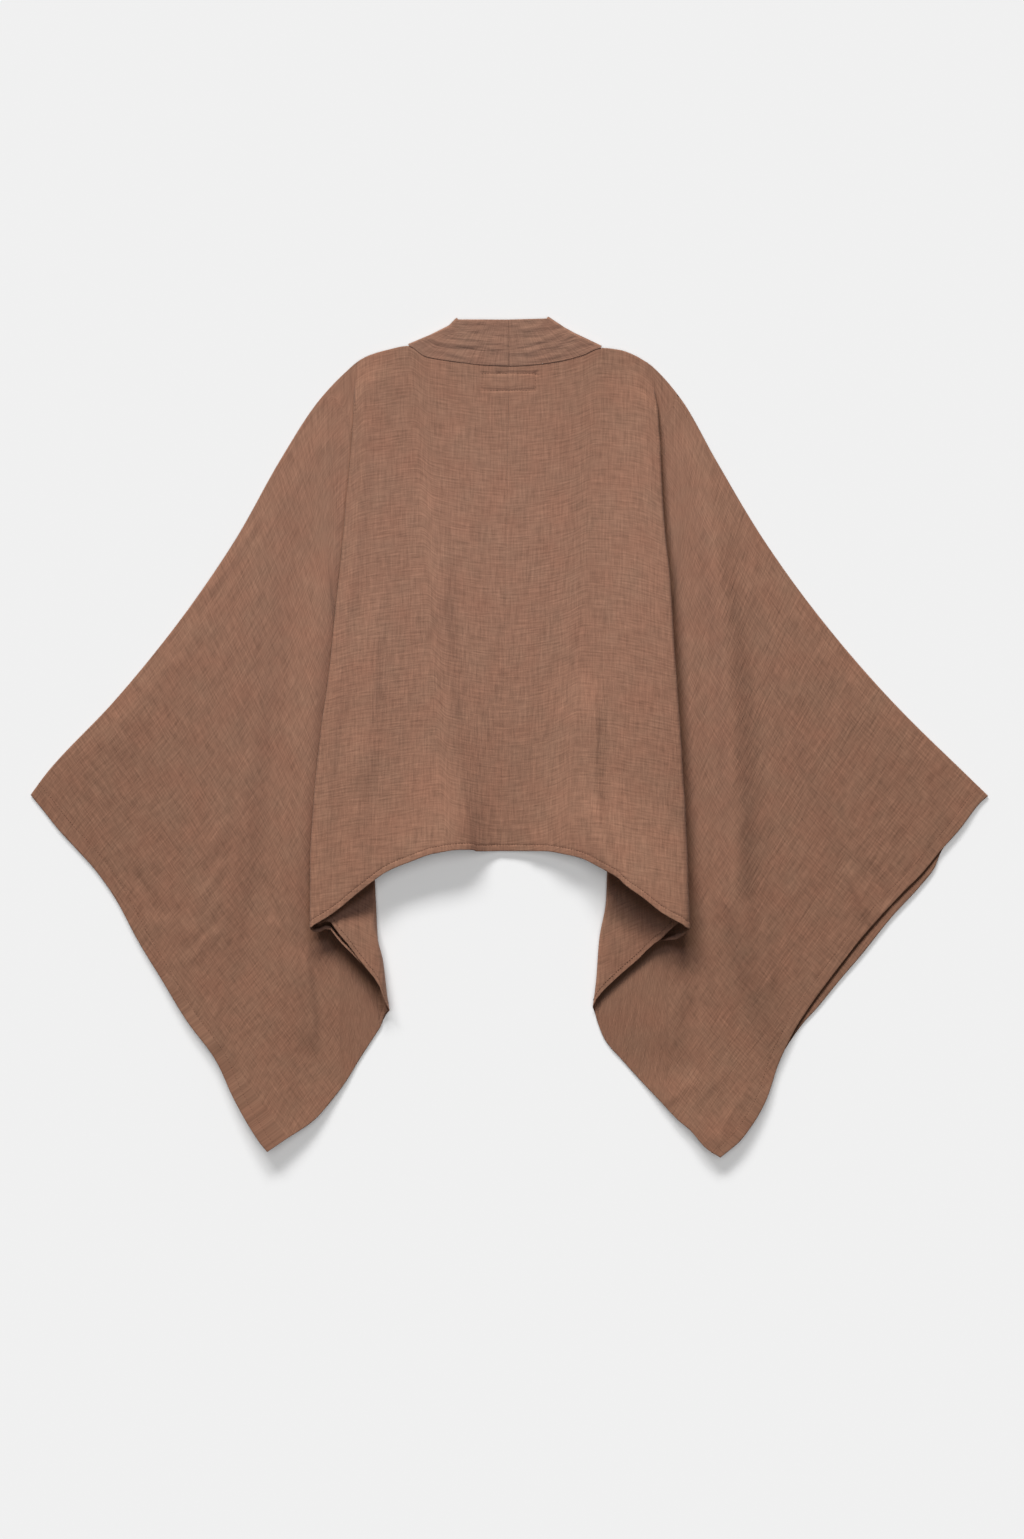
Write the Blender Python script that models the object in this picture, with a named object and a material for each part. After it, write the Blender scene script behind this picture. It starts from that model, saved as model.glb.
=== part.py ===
"""An open kimono jacket of crinkled double gauze, laid flat with its back up.

Each half is a back panel and a front panel, with body and sleeve cut in one, and half of the collar
band. Beside the body the whole sleeve is laid in one Z-shaped pleat: the cloth turns under at the body's
edge, comes back at an inner fold and runs out again to the cuff. Lengths are in millimetres, and the last
step writes metres.

In every table a place on the cloth is (out, up): out from the middle of the jacket towards the cuff,
and up the page towards the collar. The left half has the same build as the right with its own tables,
mirrored.
"""

import math
from dataclasses import dataclass

import bmesh
import bpy
import numpy as np

# The cloth and its seams
CLOTH = 1.2
SEAM_GAP = 0.3
PITCH = CLOTH + SEAM_GAP
BAND = 2.4

# Heights over the floor: the seam level of a sleeve, and the middle of the back at the neck
SLEEVE_LEVEL = CLOTH + SEAM_GAP / 2
NECK_LEVEL = 4.5
BAND_LEVEL = BAND / 2

# The front sheet folds this tightly inside the back one, and its hem is this much shorter
FRONT_FOLD_RADIUS = 1.15
FRONT_HEM_SHORTER = 9.0

# Rows from the top edge (0) to the lower edge (1), closer at the start of the pleat and at the hem
ROWS = (0, 0.03, 0.06, 0.085, 0.11, 0.14, 0.18, 0.23, 0.29, 0.36, 0.43, 0.5, 0.57, 0.64, 0.71, 0.78,
        0.84, 0.89, 0.93, 0.965, 1)

# Places along the neck seam, from the centre back (0) to the neck point (1)
NECK = (0, 0.3, 0.6, 0.83, 1)

# How many strips each further stretch of a row has
FRONT_EDGE_TO_KNEE = 2
KNEE_TO_FOLD = 2
OUTER_FOLD = 5
INNER_FOLD = 4
BACK_SLEEVE = 14
FRONT_SLEEVE = 5
BAND_ACROSS = 5
BAND_DOWN = 10

# Places across the folded-under cloth, from the outer fold (0) to the inner fold (1)
UNDER = (0, 0.15, 0.31, 0.65, 1)

# A soft fold fades in and out over this share of its length
FOLD_FADE = 1 / 3

# Between these rows, and beyond this share of the sleeve, the back's cuff stands off the front's
GAPE_FROM = 0.1
GAPE_TO = 0.7
GAPE_OUT = 0.6

# Edges that turn more than this are drawn sharp
SHARP_DEGREES = 50
MM = 0.001

CLOTH_BROWN = (0.29, 0.15, 0.10, 1)
BAND_BROWN = (0.285, 0.15, 0.10, 1)
GAUZE_ROUGHNESS = 0.9

# The pleat from top to bottom: row, level of the seam between back and front body, radius of the outer
# fold, radius of the inner fold, middle of the front body's wall above the inner fold
PLEAT = (
    (0.00, 3.2, 1.90, 1.6, 2.4),
    (0.03, 5.2, 1.90, 1.6, 4.3),
    (0.06, 8.2, 1.90, 1.6, 7.2),
    (0.085, 9.0, 1.90, 1.7, 8.0),
    (0.20, 9.8, 2.00, 1.9, 8.6),
    (0.50, 11.2, 2.30, 2.0, 9.4),
    (0.80, 15.5, 3.60, 2.2, 9.8),
    (1.00, 24.0, 6.00, 2.3, 10.0),
)

# The back body between the folds: row, level at the centre-back seam, level over the front edge
BACK_DRAPE = (
    (0.0, 4.5, 4.5),
    (0.5, 4.6, 5.4),
    (0.8, 5.4, 8.0),
    (1.0, 6.8, 13.0),
)

# The front body at the front edge: row, level
FRONT_EDGE_LEVEL = ((0.00, NECK_LEVEL - PITCH), (0.12, CLOTH / 2), (1.00, CLOTH / 2))


@dataclass
class Half:
    """The outline of one half, with its folds. Each list runs along an edge, as (out, up)."""

    name: str
    hand: int
    top: tuple  # neck seam, shoulder and upper edge of the sleeve, centre back to cuff
    hem: tuple  # back hem, centre back to the pleat's outer fold
    under_edge: tuple  # lower edge of the folded-under stretch, inner fold to outer fold
    lower: tuple  # lower edge of the sleeve, inner fold to cuff
    centre_back: tuple  # centre-back seam, hem to neck
    outer_fold: tuple  # silhouette of the body's side, hem to shoulder
    inner_fold: tuple  # silhouette of the inner fold, lower edge to shoulder
    knee: tuple  # row, out: where the back starts to drop towards the middle
    cuff: tuple  # back layer's cuff, lower corner to upper corner
    front_cuff: tuple  # front layer's cuff
    neck_point: tuple  # where neck seam, shoulder and front edge meet
    front_edge_end: tuple  # front edge at the front hem
    slant: tuple  # the collar's slanted fold, from above the neck point to its upper corner
    band_end: tuple  # inner edge of the band at the front hem
    collar_top: tuple  # collar's upper edge at the centre back
    sleeve_folds: tuple  # soft folds in the sleeve's back: out, up, out, up, half width, height
    cuff_opening: float  # how far the back's cuff stands off the front's


RIGHT = Half(
    name="right",
    hand=1,
    top=((-9.5, 370.2), (1.5, 370.6), (26, 372.2), (50.5, 375.6), (72, 381.2), (92.5, 388.7),
         (110.5, 386.7), (124.5, 381.7), (133.5, 376.7), (142.5, 370.7), (172.5, 336.7), (206.5, 276.7),
         (254.5, 196.7), (312.5, 116.7), (381.5, 36.7), (462.5, -43.3), (479, -59.3)),
    hem=((-9.5, -114.3), (34.5, -114.3), (58.5, -118.3), (70.5, -121.3), (94.5, -132.3),
         (114.5, -147.3), (132.5, -160.3), (151.5, -175.3), (165.5, -183.3), (179.5, -190.3)),
    under_edge=((83, -271.3), (85.2, -265), (106.5, -241.9), (129.5, -221.8), (140, -211.1),
                (150, -204.3), (166.5, -202.3), (179.5, -192.3)),
    lower=((83, -271.3), (95.5, -303.3), (112.5, -323.3), (130.5, -343.3), (149.5, -363.3),
           (168.5, -383.3), (180.5, -393.3), (196.5, -411.3), (210.5, -420.3)),
    centre_back=((-9.5, -114.3), (-5.5, 76.7), (-2.5, 236.7), (1.5, 370.7)),
    outer_fold=((179.5, -190.3), (176.5, -94.3), (173, -32.3), (166.5, 61.7), (160.5, 155.7),
                (154.5, 217.7), (148, 331.7), (142.5, 370.7)),
    inner_fold=((83, -271.3), (86.5, -243.3), (89.5, -203.3), (96.5, -163.3), (97.5, -135.3),
                (112.9, 10), (132.5, 190), (142.2, 278), (144, 293.5), (147.6, 309), (155, 330),
                (165, 346)),
    knee=((0, 122), (0.1, 139), (1, 88)),
    cuff=((210.5, -420.3), (232.5, -401.3), (256.5, -363.3), (269.5, -328.3), (294.5, -282.3),
          (330.5, -236.3), (363.5, -191.8), (403.5, -149.3), (431.5, -114.3), (449.5, -93.8),
          (470.9, -66.3), (479, -59.3)),
    front_cuff=((210, -420.3), (231.5, -401.3), (255, -363.3), (268, -328.3), (292.5, -282.3),
                (314.8, -263.7), (333.2, -240.8), (366.8, -202.5), (388.3, -178), (412.7, -150.3),
                (425, -132), (432.5, -114.3), (449.5, -94.3), (470, -67), (478.5, -59.3)),
    neck_point=(92.5, 388.7),
    front_edge_end=(60.5, -109),
    slant=((80.5, 395), (65.5, 402.7), (55.5, 408.6), (38.5, 420.7)),
    band_end=(5.5, -103),
    collar_top=(-0.5, 417.2),
    sleeve_folds=((203, 270, 212, -150, 15, 5.0),),
    cuff_opening=6.0,
)

LEFT = Half(
    name="left",
    hand=-1,
    top=((-1.5, 370.7), (26, 371.9), (54.5, 375.2), (70, 377.5), (84, 380.2), (101.5, 390.7),
         (122.5, 386.7), (139.5, 381.7), (149.5, 376.7), (157.5, 370.7), (190.5, 336.7), (229.5, 276.7),
         (274.5, 196.7), (329.5, 116.7), (394.5, 36.7), (460.5, -33.3), (479.2, -58.3)),
    hem=((9.5, -114.3), (49.5, -113.3), (73.5, -116.3), (97.5, -124.3), (121.5, -134.3),
         (148.5, -154.3), (177.5, -177.3), (199, -190.3)),
    under_edge=((119.5, -275.3), (121.5, -268), (131.5, -245.3), (153.5, -220.3), (169.5, -204.3),
                (181.5, -188.3), (199, -188.3)),
    lower=((119.5, -275.3), (124.5, -283.3), (137.5, -303.3), (150.5, -323.3), (162.5, -343.3),
           (177.5, -363.3), (195.5, -383.3), (225.5, -403.3), (241.5, -414.3)),
    centre_back=((9.5, -114.3), (5.5, 76.7), (2.5, 236.7), (-1.5, 370.7)),
    outer_fold=((199, -190.3), (199, -125.3), (195.5, -63.3), (189.5, -0.3), (180.5, 61.7),
                (174, 124.7), (164.5, 217.7), (155.5, 342.7), (155.5, 370.7)),
    inner_fold=((119.5, -275.3), (121.5, -263.3), (126.5, -223.3), (131.5, -203.3), (133.5, -163.3),
                (134.5, -143.3), (141, 10), (149, 190), (151, 238), (152.8, 282), (154, 298),
                (156.5, 313), (163, 332), (178, 351)),
    knee=((0, 133), (0.1, 146), (1, 126)),
    cuff=((241.5, -414.3), (250.5, -403.3), (274.5, -363.3), (293.5, -323.3), (323, -283.3),
          (347.5, -243.3), (372, -203.3), (393.5, -163.3), (414.5, -133.3), (432.5, -113.3),
          (451, -93.3), (467, -73.3), (479.2, -58.3)),
    front_cuff=((240.5, -414.3), (249, -403.3), (273, -363.3), (292, -323.3), (321.5, -283.3),
                (346, -243.3), (370.5, -203.3), (392, -163.3), (413, -133.3), (431, -113.3),
                (449.5, -93.3), (465.5, -73.3), (478.2, -58.3)),
    neck_point=(101.5, 390.7),
    front_edge_end=(64.5, -106),
    slant=((79.5, 400.9), (60.5, 411.3), (52.8, 419.7)),
    band_end=(14.5, -103),
    collar_top=(0.5, 417.2),
    sleeve_folds=((214, 200, 214, -250, 16, 4.5),),
    cuff_opening=1.5,
)


def through(table, at, column=1):
    """The smooth curve through a table's column, read at places in its first column.

    It never overshoots a row."""
    knots = np.array([row[0] for row in table], float)
    values = np.array([row[column] for row in table], float)
    steps = np.diff(knots)
    climbs = np.diff(values) / steps
    before, after = climbs[:-1], climbs[1:]
    level = before * after <= 0
    mean = 2 * before * after / np.where(level, 1, before + after)
    slopes = np.concatenate([climbs[:1], np.where(level, 0, mean), climbs[-1:]])
    at = np.clip(np.asarray(at, float), knots[0], knots[-1])
    i = np.clip(np.searchsorted(knots, at, side="right") - 1, 0, len(knots) - 2)
    step = knots[i + 1] - knots[i]
    s = (at - knots[i]) / step
    start = (1 + 2 * s) * (1 - s) ** 2 * values[i] + s * (1 - s) ** 2 * step * slopes[i]
    end = s * s * (3 - 2 * s) * values[i + 1] + s * s * (s - 1) * step * slopes[i + 1]
    return start + end


def straight(table, at, column=1):
    """The same with straight lines between the rows."""
    return np.interp(at, [row[0] for row in table], [row[column] for row in table])


def swapped(edge):
    """An edge that is read by its height up the page instead of its distance out."""
    return tuple((up, out) for out, up in edge)


def ease(s):
    s = np.clip(s, 0, 1)
    return s * s * (3 - 2 * s)


def even(strips):
    """Places from 0 to 1 that part a stretch into equal strips."""
    return np.arange(strips + 1) / strips


def guide(edge, v):
    """Distance out of a seam or fold at the rows v, which part its height evenly."""
    top, bottom = edge[-1][1], edge[0][1]
    return through(swapped(edge), top + (bottom - top) * v)


def pleat(half, v):
    """The pleat's cross-section at one row, as the seam level between the two sheets runs through it.

    Gives out, level and the normal's two parts for each point. The two folds are arcs, joined by the
    straight line that touches both."""
    level, r_out, r_in = (through(PLEAT, v, column) for column in (1, 2, 3))
    skin = PITCH / 2 + CLOTH / 2
    outer = np.array([guide(half.outer_fold, v) - skin - r_out, level - r_out])
    inner = np.array([guide(half.inner_fold, v) + skin + r_in, SLEEVE_LEVEL + r_in])
    reach = inner - outer
    turn = math.atan2(reach[1], reach[0]) + math.acos((r_out + r_in) / math.hypot(*reach))
    first = np.linspace(math.pi / 2, turn, OUTER_FOLD + 1)
    last = np.linspace(turn + math.pi, 1.5 * math.pi, INNER_FOLD + 1)
    first_arc = [(outer[0] + r_out * math.cos(a), outer[1] + r_out * math.sin(a),
                  math.cos(a), math.sin(a)) for a in first]
    last_arc = [(inner[0] + r_in * math.cos(a), inner[1] + r_in * math.sin(a),
                 -math.cos(a), -math.sin(a)) for a in last]
    leg = [tuple(np.array(first_arc[-1]) * (1 - g) + np.array(last_arc[0]) * g) for g in UNDER[1:-1]]
    return np.array(first_arc + leg + last_arc)


def under_share(points):
    """How far each point has gone from the hem to the edge underneath, and from that to the sleeve's."""
    hem_to_under = np.linspace(0, 1, OUTER_FOLD + 1)
    under_to_lower = np.linspace(0, 1, INNER_FOLD + 1)
    flat = len(UNDER) - 2
    return (np.concatenate([hem_to_under, np.ones(points - OUTER_FOLD - 1)]),
            np.concatenate([np.zeros(OUTER_FOLD + 1 + flat), under_to_lower]))


def soft_folds(half, out, up):
    """Height of the soft folds in the back of the sleeve at places out and up."""
    height = np.zeros_like(out)
    for out_a, up_a, out_b, up_b, width, rise in half.sleeve_folds:
        run = np.array([out_b - out_a, up_b - up_a])
        length = math.hypot(*run)
        along = ((out - out_a) * run[0] + (up - up_a) * run[1]) / length**2
        across = ((out - out_a) * run[1] - (up - up_a) * run[0]) / length
        ends = ease(along / FOLD_FADE) * ease((1 - along) / FOLD_FADE)
        height += rise * np.exp(-(across / width) ** 2) * ends
    return height


def panel(half, front):
    """The middle of one panel's wall, as places and normals, from its first edge to its cuff."""
    v = np.array(ROWS, float)
    folds = np.array([pleat(half, row) for row in v])
    fold_out, fold_level = folds[:, :, 0], folds[:, :, 1]
    level, r_out, _, knee_level = (through(PLEAT, v, column) for column in (1, 2, 3, 4))
    fold_start, fold_end = fold_out[:, 0], fold_out[:, -1]
    front_edge = half.neck_point[0] + (half.front_edge_end[0] - half.neck_point[0]) * v
    knee = straight(half.knee, v)

    # Body: stretches between the guides, with the wall's height at each guide
    edge_level = straight(FRONT_EDGE_LEVEL, v) if front else through(BACK_DRAPE, v, 2)
    over_knee = knee_level if front else level + PITCH / 2
    over_fold = level - (r_out - FRONT_FOLD_RADIUS) if front else level + PITCH / 2
    stretches = [(front_edge, knee, edge_level, over_knee, even(FRONT_EDGE_TO_KNEE)),
                 (knee, fold_start, over_knee, over_fold, even(KNEE_TO_FOLD))]
    if front:
        stretches[0] = (front_edge + SEAM_GAP / 2,) + stretches[0][1:]
    else:
        centre = guide(half.centre_back, v) + SEAM_GAP / 2
        stretches.insert(0, (centre, front_edge, through(BACK_DRAPE, v, 1), edge_level, NECK))
    out, height = [], []
    for start, end, low, high, shares in stretches:
        for g in shares[:-1]:
            out.append(start + (end - start) * g)
            height.append(low + (high - low) * ease(g))
    body = len(out)

    # Pleat: the seam level moved out along its normal, the front sheet's loosely round the outer fold
    hem_to_under, under_to_lower = under_share(folds.shape[1])
    loose = np.interp(np.arange(folds.shape[1]), [0, OUTER_FOLD, OUTER_FOLD + 2], [1, 1, 0])
    loose = loose[None, :] * (r_out - FRONT_FOLD_RADIUS - PITCH / 2)[:, None]
    shift = -PITCH / 2 - loose if front else np.full_like(loose, PITCH / 2)

    # Sleeve: from the inner fold to the cuff
    cuff = guide(half.front_cuff if front else half.cuff, v)
    strips = FRONT_SLEEVE if front else BACK_SLEEVE
    share = even(strips)[1:]
    sleeve_out = fold_end[:, None] + (cuff - fold_end)[:, None] * share[None, :]

    out = np.column_stack(out + [fold_out, sleeve_out])
    columns = out.shape[1]
    pleat_end = body + folds.shape[1]
    lower = np.concatenate([through(half.hem, out[-1, :body]),
                            np.zeros(pleat_end - body), through(half.lower, out[-1, pleat_end:])])
    at = out[-1, body:pleat_end]
    under = through(half.under_edge, at)
    lower[body:pleat_end] = (through(half.hem, at) * (1 - hem_to_under)
                             + under * (hem_to_under - under_to_lower)
                             + through(half.lower, at) * under_to_lower)
    if front:
        shorter = np.zeros(columns)
        shorter[:body] = FRONT_HEM_SHORTER
        shorter[body:pleat_end] = np.interp(np.arange(pleat_end - body), [0, OUTER_FOLD + 2],
                                            [FRONT_HEM_SHORTER, 0])
        lower = lower + shorter
    upper = through(half.top, out[0])
    up = upper[None, :] + (lower - upper)[None, :] * v[:, None]

    normal = np.zeros((len(v), columns, 3))
    normal[:, :, 2] = 1
    normal[:, body:pleat_end, 0] = folds[:, :, 2]
    normal[:, body:pleat_end, 2] = folds[:, :, 3]
    flat = np.full((len(v), strips), SLEEVE_LEVEL + (-PITCH if front else PITCH) / 2)
    if not front:
        flat += soft_folds(half, out[:, pleat_end:], up[:, pleat_end:])
        mouth = np.sin(math.pi * np.clip((v - GAPE_FROM) / (GAPE_TO - GAPE_FROM), 0, 1))
        flat += half.cuff_opening * mouth[:, None] * ease((share - GAPE_OUT) / (1 - GAPE_OUT))[None, :]
    places = np.dstack([out, up, np.column_stack(height + [fold_level, flat])])
    places[:, body:pleat_end, 0] += shift * folds[:, :, 2]
    places[:, body:pleat_end, 2] += shift * folds[:, :, 3]
    return places, normal


def band(half):
    """The middle of the collar band's wall, from the centre back round its slant to the front hem."""
    across = even(BAND_ACROSS)
    fold_radius = (NECK_LEVEL - BAND_LEVEL) / 2
    slant = np.array((half.neck_point,) + half.slant)
    neck_point, corner = slant[0], slant[-1]
    run = corner - neck_point
    outward = np.array([run[1], -run[0]]) / math.hypot(*run)
    inset = -(fold_radius + BAND / 2) * outward

    # The slanted fold's sag: how far it lies inside the straight line between its ends
    along = (slant - neck_point) @ run / (run @ run)
    sag = np.interp(across, along, (slant - neck_point) @ outward)[:, None] * outward

    def line(seam_end, free_end, level, normal, sagging):
        """One row across the band, from its seam with the body to its free folded edge."""
        flat = seam_end + (free_end - seam_end) * across[:, None] + sag * sagging
        return np.column_stack([flat, np.full(len(across), level)]), np.tile(normal, (len(across), 1))

    # Behind the neck, at the same places along the neck seam as the back panel has
    rows = []
    centre_out = half.centre_back[-1][0] + SEAM_GAP / 2
    top_centre = np.array([half.collar_top[0] + SEAM_GAP / 2, half.collar_top[1]])
    for g in NECK:
        seam_out = centre_out + ((neck_point + inset)[0] - centre_out) * g
        seam_end = np.array([seam_out, through(half.top, seam_out) + SEAM_GAP])
        free_end = top_centre + (corner + inset - top_centre) * g
        rows.append(line(seam_end, free_end, NECK_LEVEL, (0, 0, 1), g**2))

    # Round the slanted fold
    for angle in np.linspace(math.pi / 2, -math.pi / 2, OUTER_FOLD + 1)[1:-1]:
        push = fold_radius * math.cos(angle) * outward
        level = NECK_LEVEL - fold_radius + fold_radius * math.sin(angle)
        normal = (math.cos(angle) * outward[0], math.cos(angle) * outward[1], math.sin(angle))
        rows.append(line(seam_end + push, free_end + push, level, normal, 1))

    # Down the front, inside the front edge
    for g in even(BAND_DOWN):
        seam = seam_end + (np.array(half.front_edge_end) - (SEAM_GAP / 2, 0) - seam_end) * g
        free = free_end + (np.array(half.band_end) - free_end) * g
        rows.append(line(seam, free, BAND_LEVEL, (0, 0, -1), (1 - g) ** 2))
    places, normals = (np.array([row[k] for row in rows]) for k in (0, 1))
    return places, normals


def cloth_material(name, colour):
    material = bpy.data.materials.new(name)
    material.use_nodes = True
    shader = material.node_tree.nodes["Principled BSDF"]
    shader.inputs["Base Color"].default_value = colour
    shader.inputs["Roughness"].default_value = GAUZE_ROUGHNESS
    shader.inputs["Metallic"].default_value = 0
    return material


def wall(name, hand, places, normals, thickness, material):
    """A closed wall of even thickness round a grid of places, mirrored for the left half."""
    rows, columns = places.shape[:2]
    sides = [places + normals * thickness / 2, places - normals * thickness / 2]
    mesh = bpy.data.meshes.new(name)
    work = bmesh.new()
    grids = []
    for side in sides:
        metres = side * (hand * MM, MM, MM)
        grids.append([[work.verts.new(point) for point in row] for row in metres])
    above, below = grids
    for i in range(rows - 1):
        for j in range(columns - 1):
            work.faces.new((above[i][j], above[i + 1][j], above[i + 1][j + 1], above[i][j + 1]))
            work.faces.new((below[i][j], below[i][j + 1], below[i + 1][j + 1], below[i + 1][j]))
    for i in range(rows - 1):
        work.faces.new((above[i][0], below[i][0], below[i + 1][0], above[i + 1][0]))
        work.faces.new((above[i][-1], above[i + 1][-1], below[i + 1][-1], below[i][-1]))
    for j in range(columns - 1):
        work.faces.new((above[0][j], above[0][j + 1], below[0][j + 1], below[0][j]))
        work.faces.new((above[-1][j], below[-1][j], below[-1][j + 1], above[-1][j + 1]))
    if hand < 0:
        bmesh.ops.reverse_faces(work, faces=work.faces)
    work.to_mesh(mesh)
    work.free()
    mesh.shade_smooth()
    mesh.set_sharp_from_angle(angle=math.radians(SHARP_DEGREES))
    mesh.materials.append(material)
    piece = bpy.data.objects.new(name, mesh)
    bpy.context.scene.collection.objects.link(piece)
    return piece


for old in list(bpy.data.objects):
    bpy.data.objects.remove(old)

gauze = cloth_material("brown_gauze", CLOTH_BROWN)
band_gauze = cloth_material("brown_band", BAND_BROWN)
for half in (LEFT, RIGHT):
    wall(f"back_{half.name}_panel", half.hand, *panel(half, front=False), CLOTH, gauze)
    wall(f"front_{half.name}_panel", half.hand, *panel(half, front=True), CLOTH, gauze)
    wall(f"collar_{half.name}", half.hand, *band(half), BAND, band_gauze)
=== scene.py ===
"""An open kimono jacket in brown double gauze, laid flat with its back up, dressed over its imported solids.

Lengths are in millimetres until a mesh is written. A place on the cloth is (out, up): out from the middle of
the jacket towards the cuff, and up the page towards the collar. The left half is built like the right one
from its own tables, and mirrored.
"""

import math
from dataclasses import dataclass

import bpy
import numpy as np
from mathutils.bvhtree import BVHTree
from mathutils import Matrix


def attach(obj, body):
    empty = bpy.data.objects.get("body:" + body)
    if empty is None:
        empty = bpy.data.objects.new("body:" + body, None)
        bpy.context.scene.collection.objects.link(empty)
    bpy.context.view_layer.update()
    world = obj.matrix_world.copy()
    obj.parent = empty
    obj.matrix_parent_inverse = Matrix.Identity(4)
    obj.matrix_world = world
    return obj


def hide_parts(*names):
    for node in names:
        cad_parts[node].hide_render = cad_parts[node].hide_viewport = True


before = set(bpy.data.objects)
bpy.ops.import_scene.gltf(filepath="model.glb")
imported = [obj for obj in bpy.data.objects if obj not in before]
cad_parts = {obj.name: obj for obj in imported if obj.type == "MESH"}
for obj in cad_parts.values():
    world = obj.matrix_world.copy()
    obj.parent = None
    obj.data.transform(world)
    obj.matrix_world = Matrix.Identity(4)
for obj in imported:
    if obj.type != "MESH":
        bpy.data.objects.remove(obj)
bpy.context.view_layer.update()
scene = bpy.context.scene
MM = 0.001

# Surface, light and camera
# A plain pale table top seen from straight above, lit by a white room and one wide low strip lamp, in three
# parts, that stands beyond the collar and a little to the left, so shadows fall down the page and slightly to
# the right. A round soft lamp hangs over the jacket's shoulders, and one above the table softens the shadows.

PHOTO_MIDDLE = (2.5, -32.8)
PHOTO_HEIGHT = 1539.0
LENS = 85.0
SENSOR = 36.0
CLOTH_PLANE = 5.0
VIEW_REACH = 100000.0


def add_object(name, data):
    """A new object at the origin, in the scene."""
    made = bpy.data.objects.new(name, data)
    scene.collection.objects.link(made)
    return made


camera_data = bpy.data.cameras.new("camera")
camera_data.lens = LENS
camera_data.sensor_width = SENSOR
camera_data.clip_end = VIEW_REACH * MM
camera = add_object("camera", camera_data)
camera.location = [n * MM for n in (*PHOTO_MIDDLE, PHOTO_HEIGHT * LENS / SENSOR + CLOTH_PLANE)]
scene.camera = camera
scene.view_settings.view_transform = "Standard"


def fill(node, inputs):
    """Gives each of a node's inputs its value, or links another node's output to it."""
    for key, value in inputs.items():
        if isinstance(value, bpy.types.NodeSocket):
            node.id_data.links.new(value, node.inputs[key])
        else:
            node.inputs[key].default_value = value


ROOM_STRENGTH = 0.13
room = bpy.data.worlds.new("white_room")
room.use_nodes = True
fill(room.node_tree.nodes["Background"], {"Color": (1, 1, 1, 1), "Strength": ROOM_STRENGTH})
scene.world = room


def lamp(name, kind, strength, turn=(0, 0, 0), **settings):
    """A lamp of one kind, turned by its angles in degrees."""
    data = bpy.data.lights.new(name, kind)
    data.energy = strength
    for key, value in settings.items():
        setattr(data, key, value)
    placed = add_object(name, data)
    placed.rotation_euler = [math.radians(angle) for angle in turn]
    return placed


STRIP_HEIGHT = 29.0
STRIP_TURNS = (-2, 12, 26)
STRIP_WIDTH = math.radians(13)
STRIP_STRENGTH = 1.305
for turn in STRIP_TURNS:
    lamp("strip_lamp", "SUN", STRIP_STRENGTH, (STRIP_HEIGHT - 90, 0, turn), angle=STRIP_WIDTH)
SHOULDER_LAMP_PLACE = (-42.0, 222.0, 500.0)
SHOULDER_LAMP_WIDTH = 240.0
SHOULDER_LAMP_STRENGTH = 0.85
SHOULDER_LAMP_COLOUR = (0.88, 1.0, 1.25)
shoulder_lamp = lamp("shoulder_lamp", "AREA", SHOULDER_LAMP_STRENGTH, shape="DISK",
                     size=SHOULDER_LAMP_WIDTH * MM, color=SHOULDER_LAMP_COLOUR)
shoulder_lamp.location = [n * MM for n in SHOULDER_LAMP_PLACE]
shoulder_lamp.visible_camera = False
TABLE_LAMP_STRENGTH = 1.975
TABLE_LAMP_WIDTH = math.radians(60)
table_lamp = lamp("table_lamp", "SUN", TABLE_LAMP_STRENGTH, angle=TABLE_LAMP_WIDTH)


def new_material(name):
    """A material with its node tree and its shader."""
    material = bpy.data.materials.new(name)
    material.use_nodes = True
    return material, material.node_tree, material.node_tree.nodes["Principled BSDF"]


TABLE_SIDE = 60000.0
TABLE_PALE = (0.641, 0.641, 0.641, 1)
reach = TABLE_SIDE / 2 * MM
table_mesh = bpy.data.meshes.new("table_top")
table_mesh.from_pydata([(-reach, -reach, 0), (reach, -reach, 0), (reach, reach, 0), (-reach, reach, 0)], [],
                       [(0, 1, 2, 3)])
pale, _, shader = new_material("pale_table")
fill(shader, {"Base Color": TABLE_PALE, "Roughness": 1.0, "Specular IOR Level": 0.0})
table_mesh.materials.append(pale)
table_top = add_object("table_top", table_mesh)

# Linked lamps: the shoulder lamp lights the jacket alone, and the table lamp lights the table alone
jacket = bpy.data.collections.new("jacket")
table = bpy.data.collections.new("table")
table.objects.link(table_top)
shoulder_lamp.light_linking.receiver_collection = jacket
table_lamp.light_linking.receiver_collection = table


# Back panels
# Each half of the back is one piece of double gauze with body and sleeve cut in one, turned and stitched at
# the hem and the cuff. It lies on the front and goes under itself in a Z-shaped pleat beside the body.

CLOTH = 1.0
PITCH = 1.5
SEAM_GAP = 0.06
SLEEVE_LEVEL = 1.35
NECK_LEVEL = 4.5
FRONT_FOLD_RADIUS = 1.15
FRONT_HEM_SHORTER = 9.0


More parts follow.
